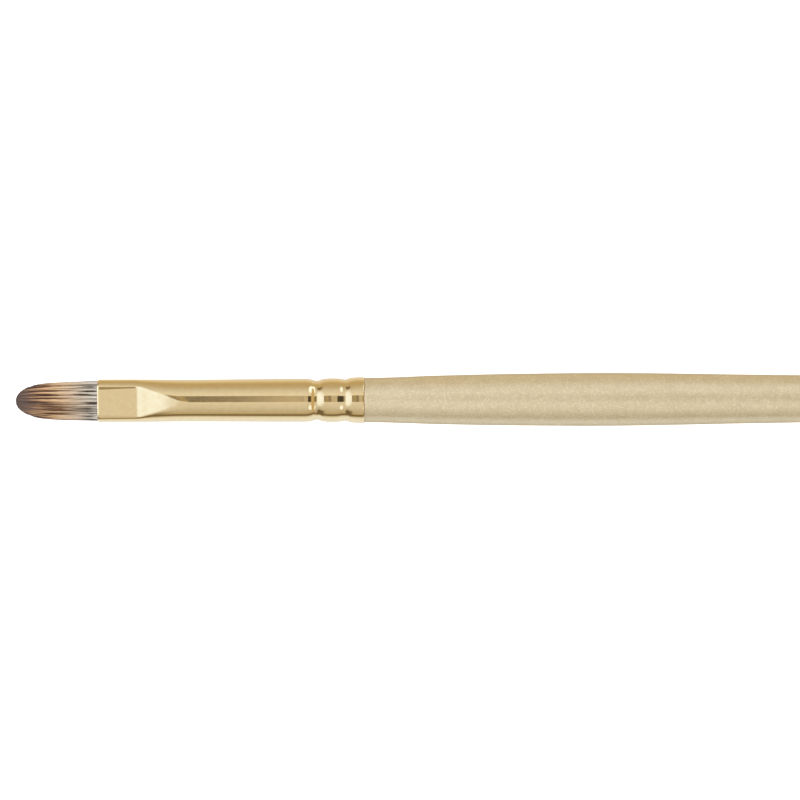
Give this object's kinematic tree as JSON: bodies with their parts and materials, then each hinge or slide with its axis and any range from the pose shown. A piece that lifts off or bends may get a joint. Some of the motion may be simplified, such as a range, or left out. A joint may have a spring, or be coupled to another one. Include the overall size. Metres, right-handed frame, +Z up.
{
  "type": "filbert paint brush",
  "caption": "Long-handled filbert paint brush: flexing synthetic hair in a flattened, double-crimped gold ferrule on a turned, lacquered wooden handle.",
  "frame": {"origin": "under the middle of the brush's length, on the surface that the thickest part of the handle touches", "axes": "+X from the hair to the handle's tail, +Z up out of one flat side of the hair, +Y across the hair's width"},
  "size_m": [0.3, 0.0082, 0.0082],
  "materials": {
    "handle_wood": "bare turned birch",
    "pearl_lacquer": "satin champagne lacquer with fine mica",
    "ferrule_gold": "polished gold-coloured plating",
    "glue": "cured amber film",
    "hair": "glossy mottled brown synthetic filament",
    "thread": "waxed cotton",
    "epoxy": "clear amber resin"
  },
  "bodies": {
    "handle_and_ferrule": {"handle_wood": "handle_wood", "handle_lacquer": "pearl_lacquer", "ferrule": "ferrule_gold", "tenon_glue": "glue", "hair_root": "hair", "binding_thread": "thread", "epoxy_plug": "epoxy"},
    "lower_hair": {"hair_lower": "hair"},
    "middle_hair": {"hair_middle": "hair"},
    "upper_hair": {"hair_upper": "hair"},
    "tip_hair": {"hair_tip": "hair"}
  },
  "joints": [
    {"name": "hair_sway", "type": "hinge", "parent": "handle_and_ferrule", "child": "lower_hair", "pos_m": [-0.13835, 0, 0.00409], "axis": [0, 0, 1], "range_deg": [-8, 8], "stiffness_Nm_per_rad": 0.03},
    {"name": "hair_bend", "type": "hinge", "parent": "lower_hair", "child": "middle_hair", "pos_m": [-0.14135, 0, 0.00409], "axis": [0, 1, 0], "range_deg": [-22, 22], "stiffness_Nm_per_rad": 0.008},
    {"name": "hair_bend_upper", "type": "hinge", "parent": "middle_hair", "child": "upper_hair", "pos_m": [-0.14435, 0, 0.00409], "axis": [0, 1, 0], "range_deg": [-22, 22], "stiffness_Nm_per_rad": 0.006},
    {"name": "hair_bend_tip", "type": "hinge", "parent": "upper_hair", "child": "tip_hair", "pos_m": [-0.14705, 0, 0.00409], "axis": [0, 1, 0], "range_deg": [-22, 22], "stiffness_Nm_per_rad": 0.004}
  ]
}
